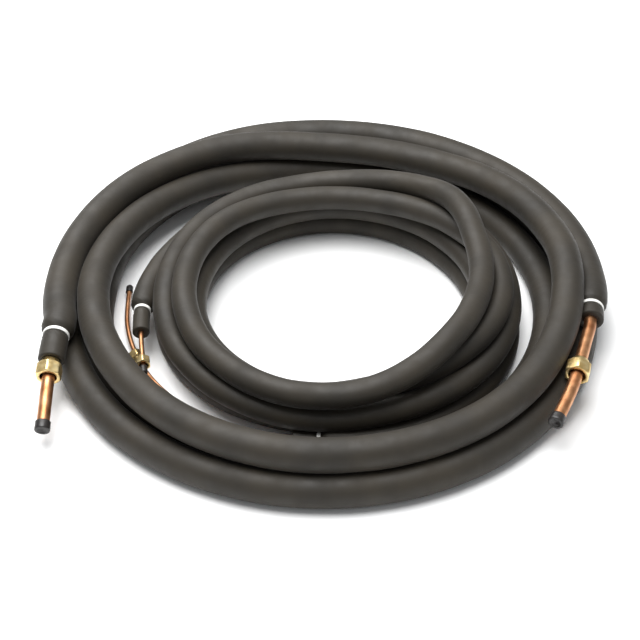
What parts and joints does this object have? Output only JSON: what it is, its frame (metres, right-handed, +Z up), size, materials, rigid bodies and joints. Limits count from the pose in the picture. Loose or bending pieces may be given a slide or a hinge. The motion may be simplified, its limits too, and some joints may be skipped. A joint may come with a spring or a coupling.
{
  "type": "mini split line set",
  "caption": "Insulated copper line set for a mini split air conditioner, wound into two flat coils, one inside the other, with flare nuts and capped ends.",
  "frame": {"origin": "middle of the set's footprint, on the floor that it lies on", "axes": "+Z up from the floor; -Y towards the front of the picture; +X to its right"},
  "size_m": [0.7346, 0.7312, 0.1277],
  "materials": {
    "foam": "matt closed-cell elastomeric foam, dark grey",
    "copper": null,
    "brass": "turned brass, satin",
    "cap": "black moulded plastic",
    "tie": "white nylon"
  },
  "bodies": {
    "root": {"suction_sleeve": "foam", "suction_tube": "copper", "suction_left_tie": "tie", "suction_left_flare_nut": "brass", "suction_left_end_cap": "cap", "suction_right_tie": "tie", "suction_right_flare_nut": "brass", "suction_right_end_cap": "cap", "liquid_sleeve": "foam", "liquid_tube": "copper", "liquid_front_tie": "tie", "liquid_front_flare_nut": "brass", "liquid_front_end_cap": "cap", "liquid_back_tie": "tie", "liquid_back_flare_nut": "brass", "liquid_back_end_cap": "cap"}
  },
  "joints": []
}
